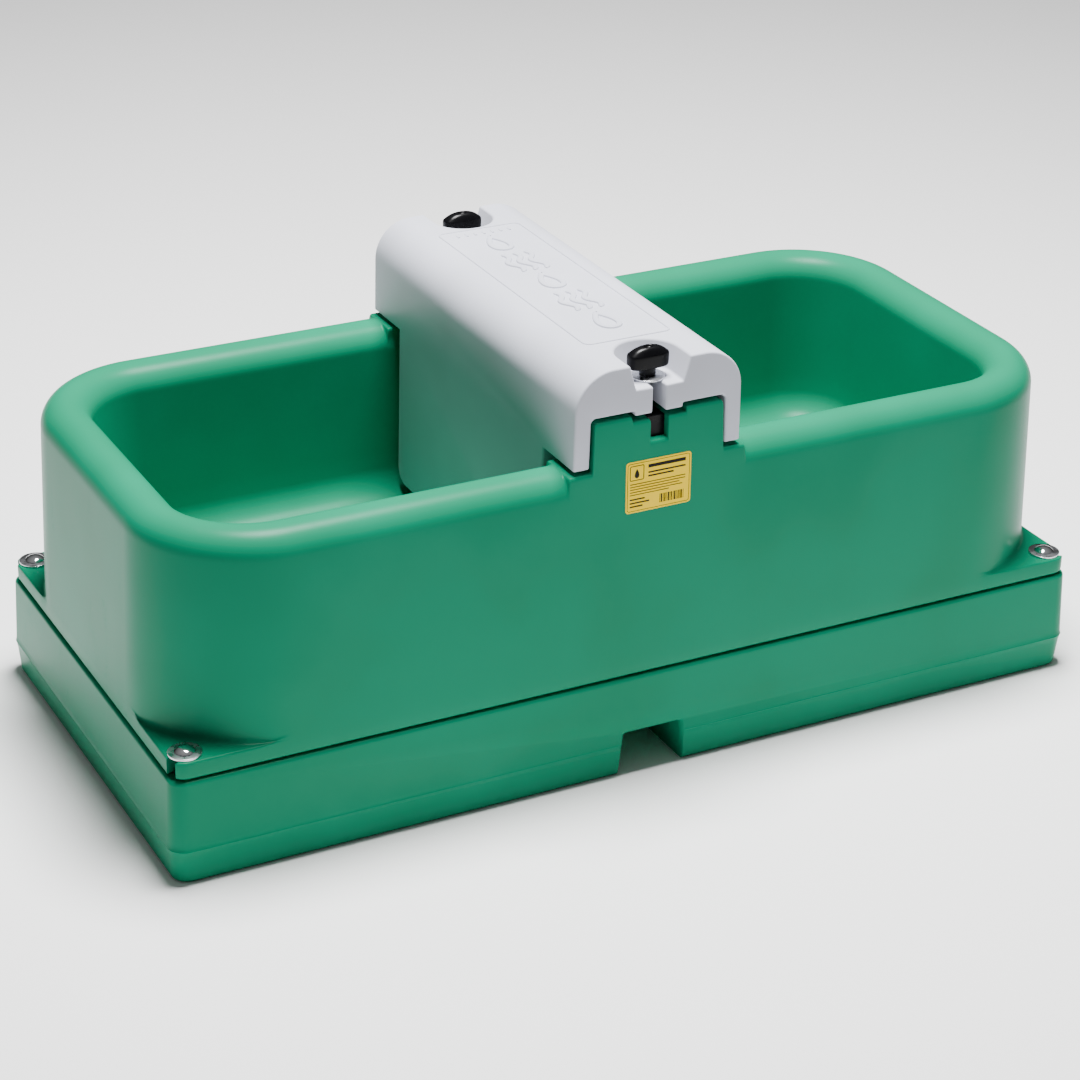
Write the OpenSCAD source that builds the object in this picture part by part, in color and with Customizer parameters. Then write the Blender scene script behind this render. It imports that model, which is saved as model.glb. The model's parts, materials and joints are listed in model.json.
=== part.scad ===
// Insulated two-place drinking trough with a float valve under a removable cover.
// Millimetres. Origin: middle of the footprint on the ground. +X along the trough,
// -Y is the labelled front, +Z is up.

/* [Plinth] */
// Length of the base block, its widest line
plinth_l = 1240; // [1000:10:1600]
// Depth of the base block, its widest line
plinth_w = 587; // [500:1:760]
// Height of the base block
plinth_h = 133; // [110:1:180]
// Height of the mould parting line
crease_h = 44; // [30:1:60]
// How far the side leans in below the parting line
lower_inset = 4.5; // [2:0.5:8]
// How far the side leans in above the parting line
upper_inset = 4; // [2:0.5:8]
// Vertical corner radius of the base block
plinth_r = 22; // [16:1:40]
// Width of the cross channel at its ceiling
channel_w = 78; // [60:1:110]
// Height of the cross channel
channel_h = 57; // [40:1:66]
// How much wider the channel is at the ground, each side
channel_flare = 6; // [0:1:10]
// Radius of the service openings between channel and trough
service_r = 34; // [28:1:36]

/* [Trough] */
// Thickness of the moulded skins
skin = 6; // [4:0.5:8]
// Height of the corner lobes above their underside
lobe_h = 22; // [16:1:30]
// Corner radius of the lobes
lobe_r = 20; // [12:1:30]
// How far the lobes stand back from the top edge of the base
lobe_setback = 2.5; // [1:0.5:6]
// Height of the rim's centre line above the ground
rim_z = 381; // [340:1:480]
// Radius of the round rim
rim_r = 31.4; // [26:0.1:36]
// Corner radius of the rim's centre line
path_r = 117.6; // [112:0.1:130]
// How far the outer wall leans in from lobe to rim
wall_lean = 5; // [2:0.5:8]
// How far the basin wall leans in from rim to floor
basin_lean = 10; // [4:0.5:14]
// Height of the basin floor above the ground
floor_z = 183; // [175:1:230]
// Radius between basin wall and floor
floor_r = 40; // [20:1:50]

/* [Towers] */
// Half width of the flat shelf beside each tower
shelf_x = 117; // [110:1:135]
// Height of the shelf above the rim's centre line
shelf_up = 28.5; // [20:0.5:30]
// Half width of a tower at its top
tower_x = 85; // [76:1:87]
// Height of a tower above the rim's centre line
tower_up = 91; // [80:1:120]
// Half width of the low step in a tower's top
step_x = 36; // [34:1:44]
// Depth of that step
step_d = 7; // [4:0.5:9]
// Width of the pocket for the anchor block
pocket_w = 24; // [20:1:30]
// Depth of the pocket below the tower's top
pocket_d = 35; // [28:1:50]

/* [Cover] */
// Half width of the cover at the foot of its skirts
cover_x = 114; // [108:1:117]
// Half width where the top corner begins
cover_top_x = 110; // [104:1:114]
// Thickness of the cover's legs
leg_t = 21; // [18:1:22]
// Thickness of the cover's top
roof_t = 58; // [50:1:80]
// Radius of the long top corners
cover_r = 50; // [30:1:54]
// Gap between a tower's top and the cover
roof_gap = 5; // [3:0.5:8]
// Gap between the shelf and the cover's foot
foot_gap = 5; // [3:0.5:10]
// How far the cover's ends stand back from the trough's side face
end_setback = 3.2; // [1:0.1:6]
// Height of the skirts above the basin floor
skirt_gap = 20; // [12:1:40]
// Gap between the skirts and the basin's rim, front and back
skirt_side_gap = 18; // [14:1:30]
// Thickness of the cover's moulded skin
cover_skin = 4; // [3:0.5:5]
// Radius of the knob recess at its floor
recess_r = 31; // [28:1:34]
// Radius of the knob recess at the top
recess_top_r = 40; // [34:1:44]
// Depth of the knob recess
recess_d = 31; // [24:1:34]
// Width of the slot for the stud
slot_w = 17; // [14:1:20]

/* [Knobs] */
// Each knob's axis: distance in from the trough's side at the lobes
knob_in = 40; // [35:1:47]
// Length of the knob's wing
wing_l = 52; // [44:1:56]
// Depth of the knob's wing
wing_w = 24; // [20:1:28]
// Height of the wing's side
wing_h = 19; // [14:1:24]
// Crown of the wing's top
wing_crown = 6; // [3:0.5:8]
// Radius of the knob's neck
neck_r = 10; // [8.5:0.5:11]
// Height of the knob's neck
neck_h = 10.5; // [8:0.5:14]
// Radius of the stud
stud_r = 5; // [4:0.5:5]
// Radius of the washer under the knob
knob_washer_r = 20.5; // [16:0.5:24]
// Thickness of the washer under the knob
knob_washer_t = 2.2; // [1.5:0.1:3]

/* [Corner bolts] */
// Distance of a bolt from the widest line of the base
bolt_in = 29.4; // [27:0.1:34]
// Radius of a bolt's shank
bolt_r = 5; // [4:0.5:6]
// Radius of a bolt's dome head
bolt_head_r = 12.3; // [10:0.1:14]
// Height of a bolt's dome head
bolt_head_h = 6; // [4:0.5:8]
// Radius of a corner washer
corner_washer_r = 20; // [16:0.5:24]
// Thickness of a corner washer
corner_washer_t = 2.6; // [1.5:0.1:4]
// Width of the open slot in a lobe
lobe_slot_w = 15; // [12.5:0.5:18]
// Length of a brass insert
insert_l = 32; // [20:1:40]
// Radius of a brass insert
insert_r = 8; // [7:0.5:10]

/* [Label] */
// Width of the label
label_w = 87; // [60:1:110]
// Height of the label
label_h = 65; // [40:1:75]
// Height of the label's middle above the ground
label_z = 382.5; // [340:0.5:400]
// Thickness of the label
label_t = 0.4; // [0.2:0.1:0.6]

/* [Water supply] */
// Distance of the riser from the middle, towards the back
riser_y = 120; // [90:1:130]
// Radius of the riser
riser_r = 12; // [11:0.5:13.5]
// Radius of the threaded inlet at the riser's foot (G 1/2)
inlet_r = 10.48; // [8.3:0.01:10.48]
// Length of the threaded inlet
inlet_l = 40; // [20:1:50]
// Bore radius of the riser
riser_bore = 7.5; // [5:0.5:8]
// Height of the valve's axis above the ground
valve_z = 395; // [370:1:405]
// Radius of the valve's barrel
barrel_r = 17; // [15:0.5:20]
// Radius of the plunger
plunger_r = 7; // [5:0.5:8]
// Radius of the lever pin
pin_r = 3; // [2:0.5:4]
// How far the float arm hangs down at rest, in degrees
arm_drop = 30; // [24:1:34]
// Length of the float rod
rod_l = 130; // [100:1:150]
// Radius of the float rod
rod_r = 4; // [3:0.5:5]
// Radius of the float
float_r = 42; // [30:1:46]
// Length of the float
float_l = 130; // [90:1:140]

/* [Drain] */
// Distance of the drain from the middle, towards the front
drain_y = 130; // [110:1:150]
// Bore radius of the drain fitting
drain_r = 16; // [12:0.5:18]
// Wall of the drain fitting
drain_wall = 3; // [2:0.5:4]

/* [Hidden] */
$fn = 96;
seat = 0.3;       // gap between pieces that rest on each other
fit = 0.05;       // radial clearance of a running fit
fill_r = 12;      // foam filling holes
cover_fill_r = 10;
base_fill_x = plinth_l * 0.3;
deck_fill_x = plinth_l * 0.2;
deck_fill_y = plinth_w * 0.2;
cover_fill_y = 80;
rib_x = 62;       // ribs that carry the cover: place along the post, width, depth, setback
rib_w = 20;
rib_d = 24;
rib_in = 18;
block_screw_r = 2.5;
gasket_t = 2;     // sealing strip between base and trough
gasket_w = 12;
gasket_in = 9;
foam_gap = 0.3;   // foam to skin

base_x = plinth_l / 2 - upper_inset;       // top edge of the base
base_y = plinth_w / 2 - upper_inset;
deck_z = plinth_h + gasket_t;              // underside of the trough
ledge_z = deck_z + lobe_h;
lobe_hx = base_x - lobe_setback;
lobe_hy = base_y - lobe_setback;
knob_y = lobe_hy - knob_in;
path_y = lobe_hy - wall_lean - rim_r;      // rim centre line, long sides
path_x = lobe_hx - wall_lean - rim_r - 3;  // rim centre line, ends
rim_top = rim_z + rim_r;
shelf_z = rim_z + shelf_up;
tower_z = rim_z + tower_up;
step_z = tower_z - step_d;
lean_slope = wall_lean / (rim_z - ledge_z);
basin_y = path_y - rim_r;                  // inner edge of the rim
basin_slope = basin_lean / (rim_z - floor_z);
floor_s = path_r - 16;                     // the wall section reaches this far in
bolt_x = plinth_l / 2 - bolt_in;
bolt_y = plinth_w / 2 - bolt_in;
insert_z = plinth_h - insert_l;
roof_z = tower_z + roof_gap;               // underside of the cover's top
cover_z = roof_z + roof_t;                 // top of the cover
arch_bevel = 4;                            // bevel inside the cover, under the top
foot_z = shelf_z + foot_gap;
skirt_z = floor_z + skirt_gap;
skirt_y = basin_y - skirt_side_gap;
cover_y = side_y(shelf_z) - end_setback;   // ends of the cover
recess_z = cover_z - recess_d;
lug_z = roof_z - 6;                        // underside of the lugs beside the slot
lug_x = step_x - 4;
lug_y = knob_y - 15;
pocket_z = tower_z - pocket_d;
tower_in = basin_y + 3;                    // inner face of a tower
block_h = pocket_d - 9;
block_y0 = tower_in + 6;                   // inner end of pocket
block_y1 = knob_y + 23;
block_screw_y = knob_y - 13;
stud_z0 = pocket_z + 4;
washer_z = recess_z + seat;
neck_z = washer_z + knob_washer_t + fit;
wing_z = neck_z + neck_h;
label_lean = atan(lean_slope);
corner_washer_z = ledge_z + seat;
bolt_head_z = corner_washer_z + corner_washer_t + fit;
bolt_dome_r = dome_r(bolt_head_r, bolt_head_h);
arm_swing = 28;                            // swing of the float arm, degrees
lever_up = 14;                             // pin to the plunger's axis
plunger_travel = 6.8;                      // what that swing gives the plunger
nose_r = 3;
ear_in = 8;                                // half the gap between the valve's ears
tip_r = 3;                                 // free end of the plunger
tip_l = 5;
pin_y = riser_y - 62;
pin_z = valve_z - lever_up;
nose_a = arm_swing / 2;                    // nose starts this far behind upright
nose_y = pin_y - lever_up * sin(nose_a);
plunger_y0 = nose_y + nose_r + seat;       // free end of the plunger
plunger_l = 30;
barrel_y0 = riser_y - 46;
barrel_y1 = riser_y + 22;
seat_y = plunger_y0 + plunger_l + 3 + plunger_travel + seat;
riser_z0 = channel_h + 12;
riser_flange_z = floor_z + 2;
plug_z = floor_z + 4;

green = "#13785c";
light_grey = "#dcdde6";
black = "#1c1c1e";
steel = "#b9bbbd";
brass = "#c8a44a";
foam = "#e6d9a8";

// Outer face of the long sides at height z
function side_y(z) = lobe_hy - (z - ledge_z) * lean_slope;
// Basin wall: distance inside the rim's centre line at height z
function basin_s(z) = -rim_r - (rim_z - z) * basin_slope;

// Block with round corners whose sides all lean in by the same amount
module leaning_block(hx, hy, r, h, inset) {
    for (x = [-1, 1], y = [-1, 1])
        translate([x * (hx - r), y * (hy - r), 0]) cylinder(h = h, r1 = r, r2 = r - inset);
    rotate([90, 0, 0]) linear_extrude(2 * (hy - r), center = true)
        polygon([[-hx, 0], [hx, 0], [hx - inset, h], [inset - hx, h]]);
    rotate([90, 0, 90]) linear_extrude(2 * (hx - r), center = true)
        polygon([[-hy, 0], [hy, 0], [hy - inset, h], [inset - hy, h]]);
}

module round_block(hx, hy, r, h) {
    for (x = [-1, 1], y = [-1, 1])
        translate([x * (hx - r), y * (hy - r), 0]) cylinder(h = h, r = r);
    translate([-hx, r - hy, 0]) cube([2 * hx, 2 * (hy - r), h]);
    translate([r - hx, -hy, 0]) cube([2 * (hx - r), 2 * hy, h]);
}

module at_bolts() for (x = [-1, 1], y = [-1, 1]) translate([x * bolt_x, y * bolt_y, 0]) children();
module ring(r, bore, h) difference() {
    cylinder(h = h, r = r);
    translate([0, 0, -1]) cylinder(h = h + 2, r = bore);
}
// Profile in the XZ plane pulled along Y, and in the YZ plane pulled along X
module pull_y(l) rotate([90, 0, 0]) linear_extrude(l, center = true) children();
module pull_x(l) rotate([90, 0, 90]) linear_extrude(l, center = true) children();

// ---- Plinth ----
module plinth_body() {
    mirror([0, 0, 1]) translate([0, 0, -crease_h])
        leaning_block(plinth_l / 2, plinth_w / 2, plinth_r, crease_h, lower_inset);
    translate([0, 0, crease_h])
        leaning_block(plinth_l / 2, plinth_w / 2, plinth_r, plinth_h - crease_h, upper_inset);
}

module channel(t) pull_y(plinth_w + 20) polygon([
    [-channel_w / 2 - channel_flare - t, -1], [channel_w / 2 + channel_flare + t, -1],
    [channel_w / 2 + t, channel_h + t], [-channel_w / 2 - t, channel_h + t]]);

module service_holes(t) for (y = [-drain_y, riser_y])
    translate([0, y, channel_h - 1]) cylinder(h = plinth_h, r = service_r + t);

module plinth_void(t) difference() {
    translate([0, 0, t]) round_block(base_x - 2 - t, base_y - 2 - t, 16, plinth_h - 2 * t);
    channel(t);
    service_holes(t);
    at_bolts() translate([0, 0, -1]) cylinder(h = plinth_h + 2, r = insert_r + t);
}

module plinth_fill_holes(r) for (x = [-1, 1])
    translate([x * base_fill_x, 0, -1]) cylinder(h = skin + 2, r = r);

module plinth_shell() color(green) difference() {
    plinth_body();
    channel(0);
    service_holes(0);
    plinth_void(skin);
    plinth_fill_holes(fill_r);
    at_bolts() translate([0, 0, insert_z]) cylinder(h = insert_l + 1, r = insert_r);
    at_bolts() translate([0, 0, insert_z - 12]) cylinder(h = 20, r = bolt_r + 0.5);
}
module plinth_insulation() color(foam) plinth_void(skin + foam_gap);
module plinth_fill_plugs() color(green) for (x = [-1, 1])
    translate([x * base_fill_x, 0, 1]) cylinder(h = skin - 1, r = fill_r - fit);
module plinth_inserts() color(brass) at_bolts() translate([0, 0, insert_z])
    ring(insert_r - fit, bolt_r + fit, insert_l);

module base_gasket() color(black) translate([0, 0, plinth_h]) difference() {
    round_block(lobe_hx - gasket_in, lobe_hy - gasket_in, lobe_r - 4, gasket_t);
    translate([0, 0, -1]) round_block(lobe_hx - gasket_in - gasket_w, lobe_hy - gasket_in - gasket_w,
        lobe_r - 8, gasket_t + 2);
    at_bolts() translate([0, 0, -1]) cylinder(h = gasket_t + 2, r = lobe_slot_w / 2 + 6);
}

// ---- Trough ----
// Cross-section of wall, rim and floor, set in by t from every face; x = 0 is the rim's centre line
module wall_section(t) {
    alpha = atan(basin_slope);
    zc = floor_z + floor_r;
    sc = basin_s(zc) - floor_r / cos(alpha);
    r = floor_r + t;
    polygon([[-floor_s, deck_z + t], [rim_r + wall_lean - t, deck_z + t],
        [rim_r + wall_lean - t, ledge_z], [rim_r - t, rim_z], [t - rim_r, rim_z],
        [basin_s(floor_z - t) + t, floor_z - t], [-floor_s, floor_z - t]]);
    translate([0, rim_z]) circle(rim_r - t);
    difference() {
        polygon([[sc, zc - r - 2], [basin_s(floor_z - t) + t + 2, zc - r - 2],
            [sc + r * cos(alpha) + 2, zc - r * sin(alpha)], [sc, zc]]);
        translate([sc, zc]) circle(r);
    }
}

module around_path() {
    for (i = [0, 1], j = [0, 1]) mirror([i, 0, 0]) mirror([0, j, 0])
        translate([path_x - path_r, path_y - path_r, 0])
            rotate_extrude(angle = 90) translate([path_r, 0]) children();
    for (i = [0, 1]) mirror([i, 0, 0]) translate([path_x, 0, 0]) pull_y(2 * (path_y - path_r)) children();
    for (j = [0, 1]) mirror([0, j, 0]) translate([0, path_y, 0]) pull_x(2 * (path_x - path_r)) children();
}

module trough_core(t) {
    around_path() wall_section(t);
    translate([0, 0, deck_z + t])
        round_block(path_x - floor_s, path_y - floor_s, path_r - floor_s, floor_z - deck_z - 2 * t);
}

// Tower and shelf on the +Y side, set in by t
module tower(t) {
    pull_x(2 * (shelf_x - t)) polygon([[tower_in + t, rim_z - 20], [side_y(rim_z - 20) - t, rim_z - 20],
        [side_y(shelf_z) - t, shelf_z - t], [tower_in + t, shelf_z - t]]);
    intersection() {
        pull_x(2 * shelf_x) polygon([[tower_in + t, rim_z - 20], [side_y(rim_z - 20) - t, rim_z - 20],
            [side_y(tower_z) - t, tower_z - t], [tower_in + t, tower_z - t]]);
        pull_y(2 * plinth_w) polygon([[-tower_x - 3 + t, rim_z - 20], [tower_x + 3 - t, rim_z - 20],
            [tower_x - t, tower_z - t], [t - tower_x, tower_z - t]]);
    }
}
module both_sides() for (j = [0, 1]) mirror([0, j, 0]) children();

module tower_cuts(t) {
    translate([-step_x - t, 0, step_z - t]) cube([2 * (step_x + t), plinth_w, 60]);
    translate([-pocket_w / 2 - t, block_y0 - t, pocket_z - t]) cube([pocket_w + 2 * t, 90, 90]);
}

module floor_holes(rr, rd) {
    translate([0, riser_y, deck_z - 1]) cylinder(h = floor_z, r = rr);
    translate([0, -drain_y, deck_z - 1]) cylinder(h = floor_z, r = rd);
}

module foam_holes(r) for (x = [-1, 1], y = [-1, 1])
    translate([x * deck_fill_x, y * deck_fill_y, deck_z - 1]) cylinder(h = skin + 2, r = r);

module trough_foam(t) difference() {
    union() {
        trough_core(t);
        both_sides() tower(t);
    }
    both_sides() tower_cuts(t);
    floor_holes(riser_r + 1 + t, drain_r + drain_wall + fit + t);
    both_sides() translate([0, block_screw_y, pocket_z - 25]) cylinder(h = 30, r = block_screw_r + t);
}

// Slots in the lobes, round about the bolt and open to the corner
module lobe_slots() for (x = [-1, 1], y = [-1, 1]) translate([x * bolt_x, y * bolt_y, deck_z - 1])
    rotate([0, 0, atan2(y, x)]) linear_extrude(lobe_h + 2) {
        circle(lobe_slot_w / 2);
        translate([0, -lobe_slot_w / 2]) square([60, lobe_slot_w]);
    }

module trough_shell() color(green) difference() {
    union() {
        trough_core(0);
        translate([0, 0, deck_z]) difference() {
            round_block(lobe_hx, lobe_hy, lobe_r, lobe_h);
            translate([0, 0, -1]) round_block(path_x - 10, path_y - 10, path_r - 10, lobe_h + 2);
        }
        both_sides() tower(0);
        both_sides() for (x = [-1, 1]) translate([x * rib_x - rib_w / 2, tower_in + rib_in, tower_z - 1])
            cube([rib_w, rib_d, roof_gap + 1 - seat]);
    }
    trough_foam(skin);
    both_sides() tower_cuts(0);
    floor_holes(riser_r + 1, drain_r + drain_wall + fit);
    foam_holes(fill_r);
    both_sides() translate([0, block_screw_y, pocket_z - 20]) cylinder(h = 30, r = block_screw_r);
    lobe_slots();
}
module trough_insulation() color(foam) trough_foam(skin + foam_gap);
module foam_fill_plugs() color(green) for (x = [-1, 1], y = [-1, 1])
    translate([x * deck_fill_x, y * deck_fill_y, deck_z + 0.5]) cylinder(h = skin - 0.5, r = fill_r - fit);

module corner_washers() color(steel) at_bolts() translate([0, 0, corner_washer_z])
    ring(corner_washer_r, bolt_r + 0.5, corner_washer_t);
module corner_bolts() color(steel) at_bolts() {
    translate([0, 0, insert_z - 8]) cylinder(h = bolt_head_z - insert_z + 9, r = bolt_r);
    translate([0, 0, bolt_head_z]) rotate_extrude() intersection() {
        square([bolt_head_r, bolt_head_h]);
        translate([0, bolt_head_h - bolt_dome_r]) circle(bolt_dome_r);
    }
}
function dome_r(r, h) = (r * r + h * h) / (2 * h);

module rating_label() color("#f5d60f")
    translate([0, -side_y(label_z) - seat / 2, label_z]) rotate([-label_lean, 0, 0])
        translate([-label_w / 2, -label_t, -label_h / 2]) cube([label_w, label_t, label_h]);

module anchor_block() difference() {
    translate([-pocket_w / 2 + seat, block_y0 + seat, pocket_z + seat])
        cube([pocket_w - 2 * seat, block_y1 - block_y0 - seat, block_h]);
    translate([0, knob_y, pocket_z - 1]) cylinder(h = pocket_d + 10, r = stud_r + fit);
    translate([0, block_screw_y, pocket_z - 1]) cylinder(h = pocket_d + 10, r = 2.6);
    translate([0, block_screw_y, pocket_z + block_h - 4]) cylinder(h = 10, r = 5);
}
module front_anchor_block() color(black) mirror([0, 1, 0]) anchor_block();
module back_anchor_block() color(black) anchor_block();
module block_screws() color(steel) both_sides() translate([0, block_screw_y, pocket_z]) {
    translate([0, 0, -18]) cylinder(h = 18 + block_h - 4, r = block_screw_r - fit);
    translate([0, 0, block_h - 4]) cylinder(h = 3.5, r = 4.5);
}

// ---- Cover ----
// Arch in the XZ plane, set in by t from every face
module cover_arch(t) {
    in_x = cover_x - leg_t;
    in_top_x = cover_top_x - leg_t;
    difference() {
        union() {
            polygon([[-cover_x + t, skirt_z + t], [cover_x - t, skirt_z + t],
                [cover_top_x - t, cover_z - cover_r], [t - cover_top_x, cover_z - cover_r]]);
            for (x = [-1, 1]) translate([x * (cover_top_x - cover_r), cover_z - cover_r])
                circle(cover_r - t);
            translate([cover_r - cover_top_x, cover_z - cover_r - 1])
                square([2 * (cover_top_x - cover_r), cover_r + 1 - t]);
        }
        polygon([[-in_x - t, skirt_z - 1], [in_x + t, skirt_z - 1],
            [in_top_x + t, roof_z + t - arch_bevel], [in_top_x + t - arch_bevel, roof_z + t],
            [arch_bevel - in_top_x - t, roof_z + t], [-in_top_x - t, roof_z + t - arch_bevel]]);
    }
}
// Outline of the cover seen from the side, in the YZ plane, set in by t
module cover_side(t) {
    r = 22;
    translate([t - cover_y, foot_z + t]) square([2 * (cover_y - t), cover_z - foot_z - t]);
    translate([t - skirt_y, skirt_z + r]) square([2 * (skirt_y - t), foot_z - skirt_z]);
    translate([r - skirt_y, skirt_z + t]) square([2 * (skirt_y - r), foot_z - skirt_z]);
    for (y = [-1, 1]) translate([y * (skirt_y - r), skirt_z + r]) circle(r - t);
}
module cover_block(t) intersection() {
    pull_y(2 * plinth_w) cover_arch(t);
    pull_x(4 * cover_x) cover_side(t);
}
// Recess and slot for a knob on the +Y side, grown by t
module knob_recess(t) {
    h = recess_d + t;
    translate([0, knob_y, recess_z - t]) cylinder(h = h, r1 = recess_r + t, r2 = recess_top_r + t);
    translate([0, knob_y + 50, 0]) pull_y(100) polygon([[-recess_r - t, recess_z - t],
        [recess_r + t, recess_z - t], [recess_top_r + t, cover_z], [-recess_top_r - t, cover_z]]);
    translate([0, knob_y, lug_z - 1]) cylinder(h = recess_z - lug_z + 2, r = slot_w / 2 + t);
    translate([-slot_w / 2 - t, knob_y, lug_z - 1]) cube([slot_w + 2 * t, 100, recess_z - lug_z + 2]);
}
module lug() translate([-lug_x, lug_y, lug_z]) cube([2 * lug_x, cover_y - lug_y, roof_z - lug_z + 1]);
module cover_holes(r) for (y = [-1, 1]) translate([0, cover_fill_y * y, roof_z - 1])
    cylinder(h = cover_skin + 2, r = r);

module cover_foam(t) difference() {
    cover_block(t);
    both_sides() knob_recess(t);
}
module cover_shell() color(light_grey) difference() {
    union() {
        cover_block(0);
        both_sides() lug();
    }
    both_sides() knob_recess(0);
    cover_foam(cover_skin);
    cover_holes(cover_fill_r);
}
module cover_insulation() color(foam) cover_foam(cover_skin + foam_gap);
module cover_fill_plugs() color(light_grey) for (y = [-1, 1])
    translate([0, cover_fill_y * y, roof_z + 0.5]) cylinder(h = cover_skin - 0.5, r = cover_fill_r - fit);

// ---- Wing knobs ----
module wing_plan() {
    r = ((wing_l / 2) * (wing_l / 2) + (wing_w / 2) * (wing_w / 2)) / wing_w + 4;
    intersection() {
        translate([0, wing_w / 2 - r]) circle(r);
        translate([0, r - wing_w / 2]) circle(r);
        square([wing_l, wing_w], center = true);
    }
}
module knob() difference() {
    union() {
        translate([0, 0, neck_z]) cylinder(h = neck_h + 1, r = neck_r);
        intersection() {
            translate([0, 0, wing_z]) linear_extrude(wing_h + wing_crown) wing_plan();
            translate([0, 0, wing_z]) pull_y(wing_w + 2) intersection() {
                r = dome_r(wing_l / 2, wing_crown);
                translate([-wing_l / 2, 0]) square([wing_l, wing_h + wing_crown]);
                translate([0, wing_h + wing_crown - r]) circle(r);
            }
        }
    }
    translate([0, 0, neck_z - 1]) cylinder(h = neck_h + 9, r = stud_r + fit);
}
module knob_washer() translate([0, 0, washer_z]) ring(knob_washer_r, stud_r + 0.4, knob_washer_t);
module stud() translate([0, 0, stud_z0]) cylinder(h = neck_z + neck_h + 7 - stud_z0, r = stud_r);

module front_washer() color(steel) translate([0, -knob_y, 0]) knob_washer();
module front_knob() color(black) translate([0, -knob_y, 0]) knob();
module front_stud() color(steel) translate([0, -knob_y, 0]) stud();
module back_washer() color(steel) translate([0, knob_y, 0]) knob_washer();
module back_knob() color(black) translate([0, knob_y, 0]) knob();
module back_stud() color(steel) translate([0, knob_y, 0]) stud();

// ---- Water supply and float valve ----
module supply_riser() color(steel) translate([0, riser_y, 0]) difference() {
    union() {
        translate([0, 0, riser_z0]) cylinder(h = inlet_l + 1, r = inlet_r);
        translate([0, 0, riser_z0 + inlet_l]) cylinder(h = valve_z - riser_z0 - inlet_l, r = riser_r);
        translate([0, 0, riser_flange_z]) cylinder(h = 5, r = riser_r + 12);
    }
    translate([0, 0, riser_z0 - 1]) cylinder(h = valve_z, r = riser_bore);
}
module riser_locknut() color(brass) translate([0, riser_y, deck_z - 12]) difference() {
    cylinder(h = 10, r = riser_r + 8, $fn = 6);
    translate([0, 0, -1]) cylinder(h = 12, r = riser_r + fit);
}
module riser_seals() color(black) translate([0, riser_y, 0]) {
    translate([0, 0, floor_z]) ring(riser_r + 10, riser_r + fit, 2);
    translate([0, 0, deck_z - 2]) ring(riser_r + 8, riser_r + fit, 2);
}
module along_y(y, z) translate([0, y, z]) rotate([-90, 0, 0]) children();
module valve_body() color(brass) difference() {
    union() {
        along_y(barrel_y0, valve_z) cylinder(h = barrel_y1 - barrel_y0, r = barrel_r);
        translate([0, riser_y, valve_z - 32]) cylinder(h = 32, r = riser_r + 4);
        for (x = [-1, 1]) translate([x * (ear_in + 2) - 2, pin_y - 7, pin_z - 7])
            cube([4, barrel_y0 - pin_y + 12, 18]);
    }
    along_y(barrel_y0 - 1, valve_z) cylinder(h = seat_y - barrel_y0 + 1, r = plunger_r + fit);
    along_y(seat_y - 1, valve_z) cylinder(h = barrel_y1 - 4 - seat_y + 1, r = 9);
    translate([0, riser_y, valve_z - 33]) cylinder(h = 33, r = riser_r + fit);
    translate([-20, pin_y, pin_z]) rotate([0, 90, 0]) cylinder(h = 40, r = pin_r);
}
module valve_nozzle() color(steel) along_y(seat_y, valve_z) ring(9 - fit, 3, 8);
module valve_plunger() color(light_grey) {
    along_y(plunger_y0, valve_z) cylinder(h = tip_l + 1, r = tip_r);
    along_y(plunger_y0 + tip_l, valve_z) cylinder(h = plunger_l - tip_l, r = plunger_r);
}
module plunger_seal() color(black) along_y(plunger_y0 + plunger_l, valve_z)
    cylinder(h = 3, r = plunger_r - 1);
module lever_pin() color(steel) translate([-14, pin_y, pin_z]) rotate([0, 90, 0])
    cylinder(h = 28, r = pin_r - 0.02);

module at_arm() translate([0, pin_y, pin_z]) rotate([arm_drop, 0, 0]) children();
module float_lever() color(brass) difference() {
    union() {
        translate([seat - ear_in, pin_y, pin_z]) rotate([0, 90, 0])
            cylinder(h = 2 * (ear_in - seat), r = 6.5);
        hull() {
            translate([-5, nose_y, pin_z + lever_up * cos(nose_a)]) rotate([0, 90, 0])
                cylinder(h = 10, r = nose_r, $fn = 32);
            translate([-5, pin_y - 4, pin_z]) rotate([0, 90, 0]) cylinder(h = 10, r = 2.5, $fn = 32);
        }
        at_arm() translate([0, -32, 0]) rotate([-90, 0, 0]) cylinder(h = 28, r = 7);
    }
    translate([-10, pin_y, pin_z]) rotate([0, 90, 0]) cylinder(h = 20, r = pin_r + 0.03);
    at_arm() translate([0, -34, 0]) rotate([-90, 0, 0]) cylinder(h = 20, r = rod_r + fit);
    at_arm() translate([0, -24, -8]) cylinder(h = 9, r = 2);
}
module float_rod() color(steel) at_arm() translate([0, -rod_l - 14, 0]) rotate([-90, 0, 0])
    cylinder(h = rod_l, r = rod_r);
module rod_wing_screw() color(steel) at_arm() translate([0, -24, 0]) {
    translate([0, 0, -13]) cylinder(h = 13 - rod_r - fit, r = 2 - fit);
    translate([0, 0, -17]) cylinder(h = 4, r = 6);
    translate([-9, -1.2, -19]) cube([18, 2.4, 5]);
}
module float_ball() color("#e8e8e2") at_arm() translate([0, -rod_l, 0]) difference() {
    rotate([0, 90, 0]) rotate_extrude() {
        translate([0, 8 - float_l / 2]) square([float_r, float_l - 16]);
        for (y = [-1, 1]) translate([float_r - 8, y * (float_l / 2 - 8)]) circle(8);
        translate([0, -float_l / 2]) square([float_r - 8, float_l]);
    }
    translate([0, -20, 0]) rotate([-90, 0, 0]) cylinder(h = 90, r = rod_r + fit);
}

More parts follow.
